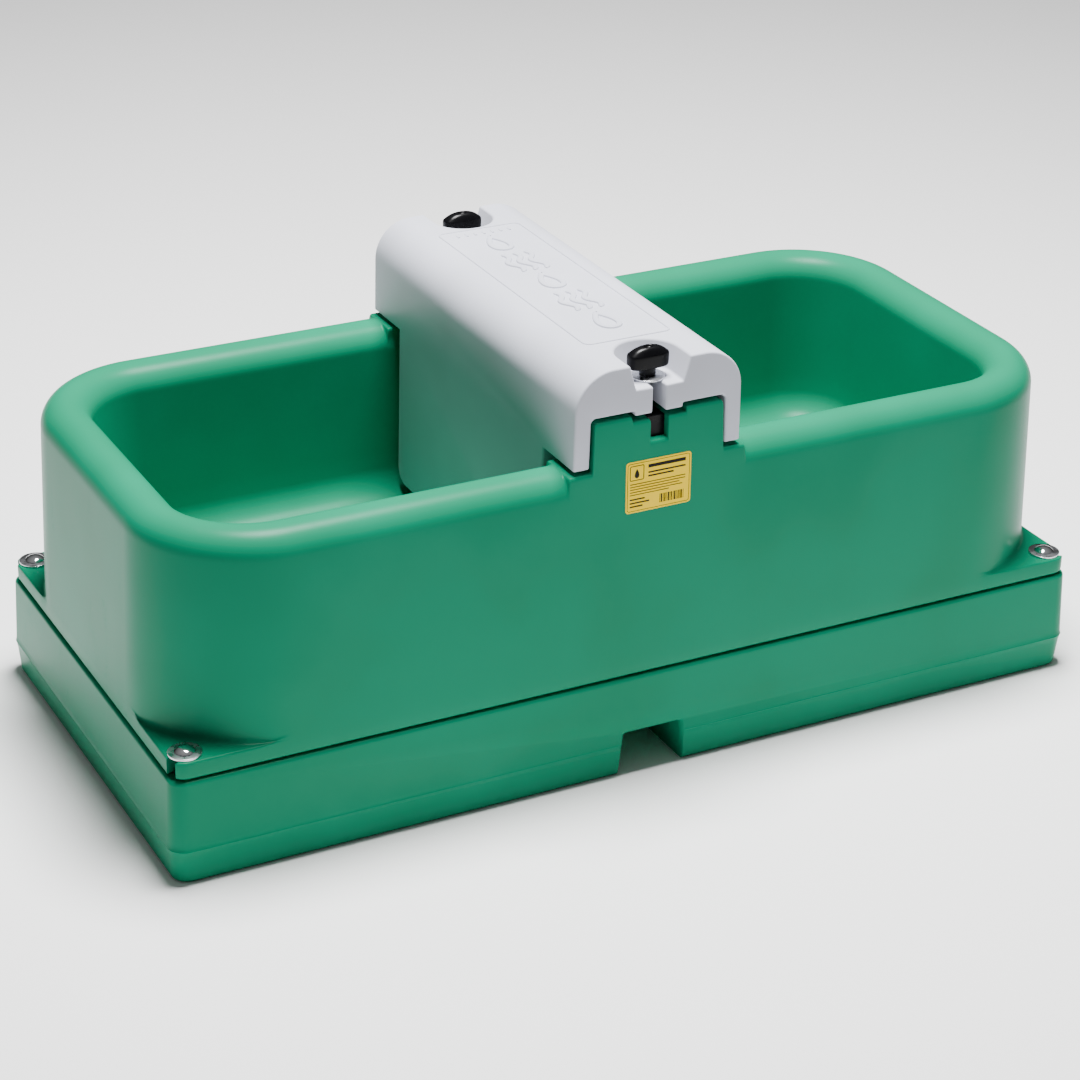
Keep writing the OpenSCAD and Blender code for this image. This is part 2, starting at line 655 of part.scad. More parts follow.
// ---- Drain ----
module drain_fitting() color(black) translate([0, -drain_y, 0]) difference() {
    union() {
        translate([0, 0, deck_z - 16]) cylinder(h = floor_z + 2 - deck_z + 16, r = drain_r + drain_wall);
        translate([0, 0, floor_z + 2]) cylinder(h = 3, r = drain_r + drain_wall + 9);
    }
    translate([0, 0, deck_z - 17]) cylinder(h = 100, r = drain_r);
}
module drain_locknut() color(black) translate([0, -drain_y, deck_z - 12]) difference() {
    cylinder(h = 11, r = drain_r + drain_wall + 8, $fn = 6);
    translate([0, 0, -1]) cylinder(h = 14, r = drain_r + drain_wall + fit);
}
module drain_seal() color(black) translate([0, -drain_y, floor_z])
    ring(drain_r + drain_wall + 7, drain_r + drain_wall + fit, 2);
module drain_plug() color(black) translate([0, -drain_y, floor_z - 18]) {
    cylinder(h = 23 + seat, r = drain_r - fit);
    translate([0, 0, 23 + seat]) cylinder(h = 4, r = drain_r + 5);
    difference() {
        translate([0, 3, 40]) rotate([90, 0, 0]) cylinder(h = 6, r = 13);
        translate([0, 4, 40]) rotate([90, 0, 0]) cylinder(h = 8, r = 8);
    }
}

plinth_shell();
plinth_insulation();
plinth_fill_plugs();
plinth_inserts();
base_gasket();
trough_shell();
trough_insulation();
foam_fill_plugs();
corner_bolts();
corner_washers();
rating_label();
front_anchor_block();
back_anchor_block();
block_screws();
cover_shell();
cover_insulation();
cover_fill_plugs();
front_washer();
front_knob();
front_stud();
back_washer();
back_knob();
back_stud();
supply_riser();
riser_locknut();
riser_seals();
valve_body();
valve_nozzle();
valve_plunger();
plunger_seal();
lever_pin();
float_lever();
float_rod();
rod_wing_screw();
float_ball();
drain_fitting();
drain_locknut();
drain_seal();
drain_plug();
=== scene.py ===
# %% [markdown]
# # Plumbed hand trough with a lift-off centre cover, in moulded plastic
#
# The object is a foam-filled trough of moulded green polyethylene on a matching base. A light grey
# cover straddles the middle and hides the float valve and the drain. Two black wing knobs hold it.
#
# The part's geometry comes from the frame, which is the exact part. This lesson builds the visible
# skins over it: soft moulded edges, fillets, relief, and a finish for every material. All lengths
# are in metres and in the frame's own axes: X along the trough, Y from front to back, Z up.

import json
import math

import bmesh
import bpy
from mathutils import Matrix, Vector


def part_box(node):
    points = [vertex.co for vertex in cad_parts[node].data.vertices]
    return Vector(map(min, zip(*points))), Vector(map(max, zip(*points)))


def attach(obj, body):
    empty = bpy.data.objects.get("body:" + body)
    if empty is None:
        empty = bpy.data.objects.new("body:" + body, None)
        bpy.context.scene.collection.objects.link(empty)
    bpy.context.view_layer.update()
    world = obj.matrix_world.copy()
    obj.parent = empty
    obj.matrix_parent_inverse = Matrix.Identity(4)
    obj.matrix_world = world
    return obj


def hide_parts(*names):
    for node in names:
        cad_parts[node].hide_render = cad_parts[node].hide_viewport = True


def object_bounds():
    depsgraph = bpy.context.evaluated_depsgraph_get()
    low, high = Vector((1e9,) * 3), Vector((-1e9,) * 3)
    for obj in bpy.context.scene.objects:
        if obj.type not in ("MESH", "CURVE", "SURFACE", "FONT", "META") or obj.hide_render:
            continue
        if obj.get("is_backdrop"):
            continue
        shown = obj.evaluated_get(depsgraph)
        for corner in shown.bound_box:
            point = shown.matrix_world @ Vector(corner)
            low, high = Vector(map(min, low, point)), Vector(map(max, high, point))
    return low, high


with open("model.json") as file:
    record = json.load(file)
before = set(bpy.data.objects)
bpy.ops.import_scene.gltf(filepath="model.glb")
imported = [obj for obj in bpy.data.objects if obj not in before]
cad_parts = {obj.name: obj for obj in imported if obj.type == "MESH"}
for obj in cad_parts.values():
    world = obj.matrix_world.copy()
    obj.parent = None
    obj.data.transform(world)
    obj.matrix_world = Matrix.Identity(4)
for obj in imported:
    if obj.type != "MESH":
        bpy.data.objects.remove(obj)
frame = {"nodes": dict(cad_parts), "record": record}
cad_low, cad_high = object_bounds()
LENGTH = cad_high.x - cad_low.x
print("frame box", [round(v, 4) for v in (*cad_low, *cad_high)])

# %% [markdown]
# ## A small tool for materials
#
# A finish is easier to read as arithmetic than as a list of links. `Wire` wraps one output of a
# node, so two wires add, subtract and multiply as numbers do, with a number on either side.
# `Finish` holds one material. Its `node` method makes any node from its type, settings and sockets.

# %%
class Wire:
    """One output in a finish's node tree; arithmetic on it adds the nodes that compute it."""

    def __init__(self, finish, socket):
        self.finish, self.socket = finish, socket

    def _math(self, operation, a, b):
        parts = [p.socket.type for p in (a, b) if isinstance(p, Wire)]
        if "VALUE" not in parts and "VECTOR" in parts:
            return self.finish.node("ShaderNodeVectorMath", {"operation": operation}, {0: a, 1: b})
        return self.finish.node("ShaderNodeMath", {"operation": operation}, {0: a, 1: b})

    def __add__(self, other): return self._math("ADD", self, other)
    def __radd__(self, other): return self._math("ADD", other, self)
    def __sub__(self, other): return self._math("SUBTRACT", self, other)
    def __rsub__(self, other): return self._math("SUBTRACT", other, self)
    def __mul__(self, other): return self._math("MULTIPLY", self, other)
    def __rmul__(self, other): return self._math("MULTIPLY", other, self)
    def __truediv__(self, other): return self._math("DIVIDE", self, other)
    def __pow__(self, other): return self._math("POWER", self, other)

    def ramp(self, low, high, out_low=0.0, out_high=1.0):
        """This value from low to high becomes out_low to out_high, clamped."""
        return self.finish.node("ShaderNodeMapRange", {"interpolation_type": "SMOOTHSTEP"},
            {"Value": self, "From Min": low, "From Max": high, "To Min": out_low, "To Max": out_high})

    def tint(self, colour_a, colour_b):
        """Colour a where this value is 0 and colour b where it is 1."""
        return self.finish.node("ShaderNodeMix", {"data_type": "RGBA"},
            {0: self, 6: colour_a, 7: colour_b}, 2)


class Finish:
    """One material: a Principled shader with helpers for coordinates, noise, bump and arithmetic."""

    def __init__(self, name, **shader):
        self.material = bpy.data.materials.new(name)
        self.material.use_nodes = True
        self.tree = self.material.node_tree
        self.shader = self.tree.nodes["Principled BSDF"]
        for socket, value in shader.items():
            self.set(socket.replace("_", " ").title().replace("Ior", "IOR"), value)

    def set(self, socket, value):
        self._plug(self.shader.inputs[socket], value)

    def _plug(self, target, value):
        if isinstance(value, Wire):
            self.tree.links.new(value.socket, target)
        else:
            target.default_value = value

    def node(self, kind, settings=None, sockets=None, output=0):
        made = self.tree.nodes.new(kind)
        for name, value in (settings or {}).items():
            setattr(made, name, value)
        for key, value in (sockets or {}).items():
            self._plug(made.inputs[key], value)
        return Wire(self, made.outputs[output])

    def place(self, stretch=(1, 1, 1)):
        """Position on the object in metres, stretched per axis."""
        where = self.node("ShaderNodeTexCoord", output="Object")
        return self.node("ShaderNodeMapping", None, {"Vector": where, "Scale": stretch})

    def axis(self, name):
        where = self.node("ShaderNodeTexCoord", output="Object")
        return self.node("ShaderNodeSeparateXYZ", None, {0: where}, name)

    def noise(self, per_metre, detail=3.0, stretch=(1, 1, 1), roughness=0.5):
        return self.node("ShaderNodeTexNoise", None, {"Vector": self.place(stretch),
            "Scale": per_metre, "Detail": detail, "Roughness": roughness})

    def bump(self, height, depth, strength=1.0):
        self.set("Normal", self.node("ShaderNodeBump", None,
            {"Height": height, "Distance": depth, "Strength": strength}))


def shade(hexa, gain=1.0):
    """An sRGB colour as linear light, times gain."""
    parts = [int(hexa[i:i + 2], 16) / 255 for i in (1, 3, 5)]
    return [gain * (p / 12.92 if p < 0.04045 else ((p + 0.055) / 1.055) ** 2.4) for p in parts] + [1.0]


print("finish tools ready")

# %% [markdown]
# ## Green moulded polyethylene
#
# The trough and base are rotationally moulded. The skin follows the tool, so it is satin with a
# very fine orange-peel texture, and the wall pulls slightly in and out as it cools. Water, hands
# and gloves leave faint dull streaks. Three scales of noise make those three effects: a long swell
# and a fine peel in the bump, and soft scuffs in the roughness.

# %%
def moulded(name, deep, pale, rough, peel=0.00012):
    f = Finish(name, roughness=rough)
    drift = f.noise(5.0, 2.0).ramp(0.35, 0.65)
    f.set("Base Color", drift.tint(deep, pale))
    scuffs = f.noise(38.0, 5.0, (1, 1, 0.35), 0.62).ramp(0.52, 0.75)
    wear = f.noise(230.0, 2.0).ramp(0.4, 0.7)
    f.set("Roughness", scuffs * wear * 0.10 + rough)
    grain = f.noise(1300.0, 2.0)
    swell = f.noise(9.0, 1.0)
    f.bump(grain * peel + swell * 0.0011, 1.0, 0.55)
    f.set("IOR", 1.17)
    return f.material


GREEN = moulded("green_moulded", (0.0, 0.185, 0.092, 1), (0.0, 0.205, 0.106, 1), 0.32)
GREY = moulded("light_grey_moulded", shade("#bcbec8"), shade("#c4c6d1"), 0.42, 0.00008)
print("moulded finishes", GREEN.name, GREY.name)

# %% [markdown]
# ## Metals, rubber and the small plastics
#
# The bolts are bright stainless steel, nearly a mirror, under flat washers with a turned finish:
# fine rings about each washer's own axis. Pipes show drawing lines along their length, and cast
# brass is dull and pitted. The knobs are black nylon, smooth enough to catch a highlight.

# %%
def metal(name, colour, rough, lines=(1, 1, 1), pits=0.0):
    f = Finish(name, metallic=1.0, base_color=shade(colour))
    marks = f.noise(260.0, 3.0, lines)
    f.set("Roughness", marks.ramp(0.3, 0.7, rough * 0.8, rough * 1.3))
    f.bump(marks * (0.00003 + pits), 1.0, 0.5)
    return f.material


def turned(name, colour, rough, pitch):
    """Steel whose roughness follows noise squeezed along Z; pitch sets the size of the fine bump noise."""
    f = Finish(name, metallic=1.0, base_color=shade(colour))
    rings = f.noise(90.0, 2.0, (1, 1, 14))
    f.set("Roughness", rings.ramp(0.3, 0.7, rough * 0.7, rough * 1.4))
    f.bump(f.noise(1.0 / pitch, 1.0) * 0.00002, 1.0, 0.4)
    return f.material


def satin(name, colour, rough, grain=900.0, depth=0.00004, **more):
    f = Finish(name, base_color=shade(colour), ior=1.22, **more)
    spots = f.noise(60.0, 4.0)
    f.set("Roughness", spots.ramp(0.35, 0.7, rough * 0.85, rough * 1.2))
    f.bump(f.noise(grain, 2.0) * depth, 1.0, 0.6)
    return f.material


def threaded(name, colour, pitch):
    """Steel with a screw thread: a wave along Z that repeats once per pitch."""
    f = Finish(name, metallic=1.0, roughness=0.28, base_color=shade(colour))
    climb = f.axis("Z") * (math.tau / pitch)
    f.bump(f.node("ShaderNodeMath", {"operation": "SINE"}, {0: climb}) * 0.0004, 1.0, 1.0)
    return f.material


BRIGHT = metal("bright_steel", "#dfe1e4", 0.10)
WASHER = turned("turned_steel", "#c9cbcf", 0.26, 0.0006)
PIPE = metal("drawn_steel", "#b9bbbd", 0.24, (1, 1, 0.06))
THREAD = threaded("threaded_steel", "#b9bbbd", 0.0015)
BRASS = metal("cast_brass", "#c8a44a", 0.34, (1, 1, 1), 0.0002)
BLACK = satin("black_nylon", "#08080a", 0.30, 900.0, 0.00001)
RUBBER = satin("black_rubber", "#141414", 0.72, 500.0, 0.0001)
WHITE = satin("white_plastic", "#e8e8e2", 0.42)
FOAM = satin("foam_filling", "#e6d9a8", 0.95, 700.0, 0.0008)
YELLOW = satin("yellow_label", "#ffd800", 0.5, 1500.0, 0.00001)
INK = satin("label_ink", "#121005", 0.55)
print("metals and small plastics ready")

# %% [markdown]
# ## Mesh helpers
#
# Most skins are rings of points joined into a closed tube: a ring per height for a block, a ring
# per station for the trough's wall. `skin` joins rings and closes the ends, `carve` cuts a solid
# with others, and `show` puts a finish on the piece, rounds its shading and ties it to its body.

# %%
def skin(rings, around=True, ends=True):
    """A bmesh of rings joined in order. With around the rings are closed loops; without ends the
    last ring joins the first."""
    bm = bmesh.new()
    rows = [[bm.verts.new(p) for p in ring] for ring in rings]
    pairs = list(zip(rows, rows[1:])) + ([] if ends else [(rows[-1], rows[0])])
    for low, high in pairs:
        n = len(low)
        for i in range(n if around else n - 1):
            j = (i + 1) % n
            bm.faces.new((low[i], low[j], high[j], high[i]))
    if ends:
        bm.faces.new(list(reversed(rows[0])))
        bm.faces.new(rows[-1])
    bmesh.ops.recalc_face_normals(bm, faces=bm.faces[:])
    return bm


def solid(name, *meshes):
    """One object from one or more bmeshes."""
    data = bpy.data.meshes.new(name)
    whole = bmesh.new()
    for bm in meshes:
        part = bpy.data.meshes.new("part")
        bm.to_mesh(part)
        bm.free()
        whole.from_mesh(part)
        bpy.data.meshes.remove(part)
    whole.to_mesh(data)
    whole.free()
    made = bpy.data.objects.new(name, data)
    bpy.context.scene.collection.objects.link(made)
    return made


def bake(piece):
    """Writes the piece's modifiers into its mesh."""
    graph = bpy.context.evaluated_depsgraph_get()
    data = bpy.data.meshes.new_from_object(piece.evaluated_get(graph))
    old = piece.data
    piece.modifiers.clear()
    piece.data = data
    bpy.data.meshes.remove(old)
    data.name = piece.name
    return piece


def carve(piece, tool, operation="DIFFERENCE"):
    """Cuts or joins piece with tool, which is used up."""
    m = piece.modifiers.new("carve", "BOOLEAN")
    m.operation, m.solver, m.object = operation, "EXACT", tool
    bake(piece)
    bpy.data.objects.remove(tool)
    return piece


def soften(piece, width, segments=3, angle=30):
    """Rounds every edge sharper than angle."""
    m = piece.modifiers.new("soften", "BEVEL")
    m.width, m.segments, m.limit_method = width, segments, "ANGLE"
    m.angle_limit = math.radians(angle)
    m.harden_normals = False
    return bake(piece)


def show(piece, body, slot, material, *nodes, sharp=35):
    piece.data.materials.clear()
    piece.data.materials.append(material)
    for face in piece.data.polygons:
        face.use_smooth = True
        face.material_index = 0
    piece.data.set_sharp_from_angle(angle=math.radians(sharp))
    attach(piece, body)
    if nodes:
        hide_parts(*nodes)
    print(piece.name, len(piece.data.polygons), "faces")
    return piece


def outline(hx, hy, r, z, per_corner=8):
    """Rounded rectangle at height z, counter-clockwise."""
    r = min(r, hx, hy)
    points = []
    for quarter, (sx, sy) in enumerate(((1, 1), (-1, 1), (-1, -1), (1, -1))):
        for i in range(per_corner + 1):
            a = math.radians(90 * quarter + 90 * i / per_corner)
            points.append((sx * (hx - r) + r * math.cos(a), sy * (hy - r) + r * math.sin(a), z))
    return points


def turn(profile, centre, axis="Z", steps=64):
    """A solid of revolution from (radius, height) points; radius 0 at an end closes it."""
    rings = []
    for r, h in profile:
        ring = []
        for i in range(steps):
            a = math.tau * i / steps
            u, v = max(r, 1e-5) * math.cos(a), max(r, 1e-5) * math.sin(a)
            p = {"Z": (u, v, h), "Y": (v, h, u), "X": (h, u, v)}[axis]
            ring.append(Vector(p) + Vector(centre))
        rings.append(ring)
    return skin(rings)


def arc(cx, cy, r, start, stop, steps):
    """Points on a circle between two angles in degrees, ends included."""
    return [(cx + r * math.cos(math.radians(start + (stop - start) * i / steps)),
             cy + r * math.sin(math.radians(start + (stop - start) * i / steps))) for i in range(steps + 1)]


def lerp(a, b, t):
    return a + (b - a) * t


def smooth(t):
    t = min(1.0, max(0.0, t))
    return t * t * (3 - 2 * t)


print("mesh helpers ready")

# %% [markdown]
# ## Sizes taken from the frame
#
# The skins follow the exact part. Its boxes give the outline, and the few sizes that a box can't
# give, such as wall lean and fillet radii, are read once here and named.

# %%
MM = 0.001
base_low, base_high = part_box("plinth_shell")
trough_low, trough_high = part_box("trough_shell")
cover_low, cover_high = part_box("cover_shell")
knob_low, knob_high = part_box("front_knob")
label_low, label_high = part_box("rating_label")
riser_low, riser_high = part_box("supply_riser")
drain_low, drain_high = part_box("drain_fitting")

CREASE = 44 * MM                       # height of the base's parting line
LOBE_X, LOBE_Y, DECK = trough_high.x, trough_high.y, trough_low.z
LEDGE = DECK + 22 * MM                 # top of the corner lobes
RIM_Z, RIM_R = 381 * MM, 31.4 * MM     # height and radius of the rolled rim
LEAN, END_LEAN = 5 * MM, 3 * MM        # the wall leans in, a little more at the ends
PATH_X, PATH_Y = LOBE_X - LEAN - RIM_R - END_LEAN, LOBE_Y - LEAN - RIM_R
PATH_R = 117.6 * MM                    # corner radius of the rim's centre line
FLOOR_Z, FLOOR_R, BASIN_LEAN = 183 * MM, 40 * MM, 10 * MM
FLOOR_IN = PATH_R - 16 * MM
TOWER_Z = cover_low.z + 269 * MM       # top of the two posts that carry the cover
SHELF_Z, POCKET_Z, STEP_Z = RIM_Z + 28.5 * MM, TOWER_Z - 35 * MM, TOWER_Z - 7 * MM
TOWER_IN, POCKET_IN = PATH_Y - 28.4 * MM, PATH_Y - 22.4 * MM
KNOB_Y = (knob_low.y + knob_high.y) / 2
RISER_Y, DRAIN_Y = (riser_low.y + riser_high.y) / 2, (drain_low.y + drain_high.y) / 2
BOLT_X, BOLT_Y = base_high.x - 29.4 * MM, base_high.y - 29.4 * MM
CORNERS = [(sx * BOLT_X, sy * BOLT_Y) for sx in (1, -1) for sy in (1, -1)]
print("trough", round(LOBE_X, 4), round(LOBE_Y, 4), "tower top", round(TOWER_Z, 4), "knob", round(KNOB_Y, 4))

# %% [markdown]
# ## The base
#
# The base is one hollow moulding. The two halves of its mould meet at a level crease, so both
# halves lean inwards away from it and a thin raised line is left where they met. Its edges are
# rounded by about the wall's thickness. It is drawn as rings from the underside to the top, then
# the service channel, the two service holes and the bolt and filling holes are carved out.

# %%
def base_rings():
    hx, hy, top = base_high.x, base_high.y, base_high.z
    low_in, high_in, line = 4.5 * MM, 4.0 * MM, 0.7 * MM
    bottom, upper = 6 * MM, 5 * MM
    rings = []

    def ring(inset, z):
        rings.append(outline(hx - inset, hy - inset, 22 * MM - min(inset, 12 * MM) * 0.5, z, 10))

    for i in range(6):                                  # rounded bottom edge
        a = math.radians(90 * i / 5)
        ring(low_in + bottom * (1 - math.sin(a)), bottom * (1 - math.cos(a)))
    ring(line + 1.2 * MM, CREASE - 9 * MM)
    ring(line, CREASE - 1.6 * MM)
    ring(line * 0.4, CREASE - 0.8 * MM)
    ring(0.0, CREASE)
    ring(line * 0.4, CREASE + 0.8 * MM)
    ring(line, CREASE + 1.6 * MM)
    ring(line + 0.4 * MM, CREASE + 9 * MM)
    for i in range(6):                                  # rounded top edge
        a = math.radians(90 * i / 5)
        ring(high_in + upper * (1 - math.cos(a)), top - upper * (1 - math.sin(a)))
    return rings


def cylinder(x, y, z0, z1, r, steps=48):
    return turn([(r, z0), (r, z1)], (x, y, 0), steps=steps)


def channel_tool():
    """Section of the service channel along Y, widening where it meets the faces."""
    rings = []
    for y, grow in ((-0.31, 7), (-0.2945, 7), (-0.292, 3.2), (-0.2895, 1.2), (-0.2865, 0.2), (-0.284, 0),
                    (0.284, 0), (0.2865, 0.2), (0.2895, 1.2), (0.292, 3.2), (0.2945, 7), (0.31, 7)):
        g = grow * MM
        low, high, top, r = 45 * MM + g, 39 * MM + g, 57 * MM + g, 4 * MM
        section = [(-low - 0.2 * MM, -2 * MM), (low + 0.2 * MM, -2 * MM)]
        section += arc(high - r, top - r, r, 5, 90, 5) + arc(r - high, top - r, r, 90, 175, 5)
        rings.append([(x, y, z) for x, z in section])
    return skin(rings)


base = solid("base_body", skin(base_rings()))
tools = [channel_tool()]
tools += [cylinder(0, DRAIN_Y, 50 * MM, 140 * MM, 34 * MM), cylinder(0, RISER_Y, 50 * MM, 140 * MM, 34 * MM)]
for piece_tool in tools:
    carve(base, solid("tool", piece_tool))
holes = [cylinder(s * base_high.x * 0.6, 0, -1 * MM, 7 * MM, 12 * MM) for s in (1, -1)]
holes += [cylinder(x, y, 89 * MM, 140 * MM, 8 * MM, 32) for x, y in CORNERS]
carve(base, solid("tool", *holes))
show(base, "root", "green_plastic", GREEN, "plinth_shell", "plinth_insulation")

# %% [markdown]
# ## The trough as one lofted wall
#
# The wall, rolled rim, basin and floor are one skin, so they are drawn as one. The rim's centre
# line is a rounded rectangle. At each station along it a section is drawn, from the underside out
# to the flange, over the corner lobe, up the wall, over the rim and down into the basin. Every
# section has the same number of points, so neighbours join cleanly.
#
# At the corners the flange stands out as a lobe for the bolt, with a soft inside fillet where the
# wall rises from it. Along the sides and ends the flange and wall are flush, and the fillet fades.

# %%
SLOPE = LEAN / (RIM_Z - LEDGE)
BASIN_SLOPE = BASIN_LEAN / (RIM_Z - FLOOR_Z)
TOP_POINTS = 33


def wall_u(z, end):
    """Outer face of the wall at height z, as a distance out from the rim's centre line."""
    return RIM_R + (RIM_Z - z) * (SLOPE + END_LEAN * end / (RIM_Z - LEDGE))


def foot_points(flange, end):
    """Underside, flange edge, ledge and fillet, up to just above the ledge."""
    width = max(flange - wall_u(LEDGE, end), 0)
    edge, fillet = min(3 * MM, width * 0.27), min(9 * MM, width * 0.72)
    full = arc(flange - edge, LEDGE - edge, edge, 0, 90, 4)
    inner = wall_u(LEDGE + fillet, end)
    full += [(lerp(p[0], inner, q), p[1]) for p, q in ((full[-1], 0.25), (full[-1], 0.5))]
    full[-2:] = [(lerp(flange - edge, inner + fillet, t), LEDGE) for t in (0.33, 0.66)]
    full += [(x, z) for x, z in arc(inner + fillet, LEDGE + fillet, fillet, 270, 180, 6)]
    flat = []
    for i in range(len(full)):
        z = LEDGE + lerp(-3, 9, i / (len(full) - 1)) * MM
        flat.append((min(flange, wall_u(z, end)), z))
    t = smooth(width / (5 * MM))
    r = 4 * MM
    low = [(-FLOOR_IN, DECK)] + arc(flange - r, DECK + r, r, 270, 360, 4)
    return low + [(lerp(a[0], b[0], t), lerp(a[1], b[1], t)) for a, b in zip(flat, full)]


def rim_top():
    return [(RIM_R * math.cos(math.pi * i / 32), RIM_Z + RIM_R * math.sin(math.pi * i / 32))
        for i in range(33)]


def block_top(z, floor=None):
    """Square-shouldered top at height z; floor is the height of the knob pocket, if there is one."""
    r_out, r_in, back = 4 * MM, 3.5 * MM, POCKET_IN - PATH_Y
    inner, rise = TOWER_IN - PATH_Y, POCKET_IN - PATH_Y
    low = z if floor is None else floor
    out = wall_u(low, 0)
    start = (wall_u(RIM_Z, 0), RIM_Z)
    up = [(wall_u(lerp(RIM_Z, low - r_out, t), 0), lerp(RIM_Z, low - r_out, t)) for t in (0.3, 0.6, 0.9)]
    turn_out = arc(out - r_out, low - r_out, r_out, 0, 90, 5)
    flat = [(lerp(out - r_out, rise + 1 * MM, t), low) for t in (0.17, 0.34, 0.5, 0.67, 0.84)]
    if floor is None:
        bunch = [(back + d * MM, z) for d in (0.9, 0.6, 0.2, -0.2, -0.9, -1.4)]
    else:
        c, v = 0.5 * MM, 1.5 * MM
        bunch = arc(back + c, floor + c, c, 270, 180, 2)
        bunch += [(x, h) for x, h in arc(back - v, z - v, v, 0, 90, 2)]
    mid = [(lerp(back - 1.5 * MM, inner + r_in, 0.5), z)]
    turn_in = arc(inner + r_in, z - r_in, r_in, 90, 180, 4)
    foot = RIM_Z + 13 * MM
    down = [(inner, lerp(z - r_in, foot + 4 * MM, t)) for t in (0.5, 1.0)]
    down += [(inner - 0.35 * MM, foot), (inner - 1.5 * MM, RIM_Z + 8 * MM),
        (-RIM_R + 0.2 * MM, RIM_Z + 3 * MM)]
    points = [start] + up + turn_out + flat + bunch + mid + turn_in + down + [(-RIM_R, RIM_Z)]
    assert len(points) == TOP_POINTS, len(points)
    return points


TOPS = {"rim": rim_top(), "shelf": block_top(SHELF_Z), "tower": block_top(TOWER_Z),
        "step": block_top(STEP_Z), "pocket": block_top(STEP_Z, POCKET_Z)}


def section(flange, end, low="rim", high="rim", share=0.0):
    """All points of the wall's section, from the underside round to the floor."""
    points = foot_points(flange, end)
    z0 = points[-1][1]
    points += [(wall_u(lerp(z0, RIM_Z, t), end), lerp(z0, RIM_Z, t)) for t in (0.1, 0.25, 0.5, 0.75, 0.95)]
    points += [(lerp(a[0], b[0], share), lerp(a[1], b[1], share)) for a, b in zip(TOPS[low], TOPS[high])]
    tilt = math.atan(BASIN_SLOPE)
    zc = FLOOR_Z + FLOOR_R
    wall = lambda z: -RIM_R - (RIM_Z - z) * BASIN_SLOPE
    uc = wall(zc) - FLOOR_R / math.cos(tilt)
    bowl = arc(uc, zc, FLOOR_R, -math.degrees(tilt), -90, 10)
    points += [(wall(lerp(RIM_Z, bowl[0][1], t)), lerp(RIM_Z, bowl[0][1], t))
        for t in (0.05, 0.3, 0.6, 0.85)]
    return points + bowl + [(-FLOOR_IN, FLOOR_Z)]


print(len(section(LOBE_Y - PATH_Y, 0)), "points in a section")

# %% [markdown]
# ## Stations along the rim
#
# Most of a long side is plain rim. In the middle the rim squares off into a shelf, rises into a
# post that carries the cover, and steps down again for the knob's anchor. Each change of height is
# a rounded step: stations crowd through it along a quarter circle at the top and another at the
# bottom, which gives the soft edges of a moulding.

# %%
def rounded_step(x, height, top_r, foot_r, slant=0.0, low_inside=False, steps=4):
    """(x, share) stations from the high side to the low side of a step at x."""
    made = []
    for i in range(steps + 1):
        a = math.radians(90 * i / steps)
        made.append((-top_r + top_r * math.sin(a), 1 - top_r * (1 - math.cos(a)) / height))
    for i in range(steps + 1):
        a = math.radians(90 * i / steps)
        made.append((foot_r * (1 - math.cos(a)), foot_r * (1 - math.sin(a)) / height))
    side = -1 if low_inside else 1
    return [(x + side * (d + slant * (1 - share)), share) for d, share in made]


def side_stations():
    """Stations of half a long side from the middle out: (x, low, high, share)."""
    found = [(0.0, "pocket", "pocket", 0.0), (6 * MM, "pocket", "pocket", 0.0)]
    for x, share in reversed(rounded_step(12 * MM, STEP_Z - POCKET_Z, 2 * MM, 0.5 * MM, 0, True)):
        found.append((x, "pocket", "step", share))
    found.append((24 * MM, "step", "step", 0.0))
    for x, share in reversed(rounded_step(36 * MM, TOWER_Z - STEP_Z, 2.5 * MM, 2 * MM, 0, True)):
        found.append((x, "step", "tower", share))
    found += [(x * MM, "tower", "tower", 0.0) for x in (50, 68)]
    for x, share in rounded_step(85 * MM, TOWER_Z - SHELF_Z, 4 * MM, 3 * MM, 2 * MM):
        found.append((x, "shelf", "tower", share))
    found.append((102 * MM, "shelf", "shelf", 0.0))
    for x, share in rounded_step(117 * MM, 13 * MM, 3.5 * MM, 3.5 * MM, 1.5 * MM):
        found.append((x, "rim", "shelf", share))
    last = PATH_X - PATH_R
    found += [(lerp(122 * MM, last, t), "rim", "rim", 0.0) for t in (0, 0.06, 0.15, 0.3, 0.5, 0.7, 0.85, 1)]
    return found


def flange_reach(px, py, nx, ny):
    """Distance from a point along a direction to the flange's outline, which has 20 mm corners."""
    r, low, high = 20 * MM, 0.0, 0.5
    for _ in range(40):
        mid = (low + high) / 2
        qx, qy = abs(px + nx * mid) - (LOBE_X - r), abs(py + ny * mid) - (LOBE_Y - r)
        gap = math.hypot(max(qx, 0), max(qy, 0)) + min(max(qx, qy), 0) - r
        low, high = (mid, high) if gap < 0 else (low, mid)
    return low


def station(px, py, nx, ny, end, tops=("rim", "rim", 0.0)):
    flange = flange_reach(px, py, nx, ny)
    return [(px + nx * u, py + ny * u, z) for u, z in section(flange, end, *tops)]


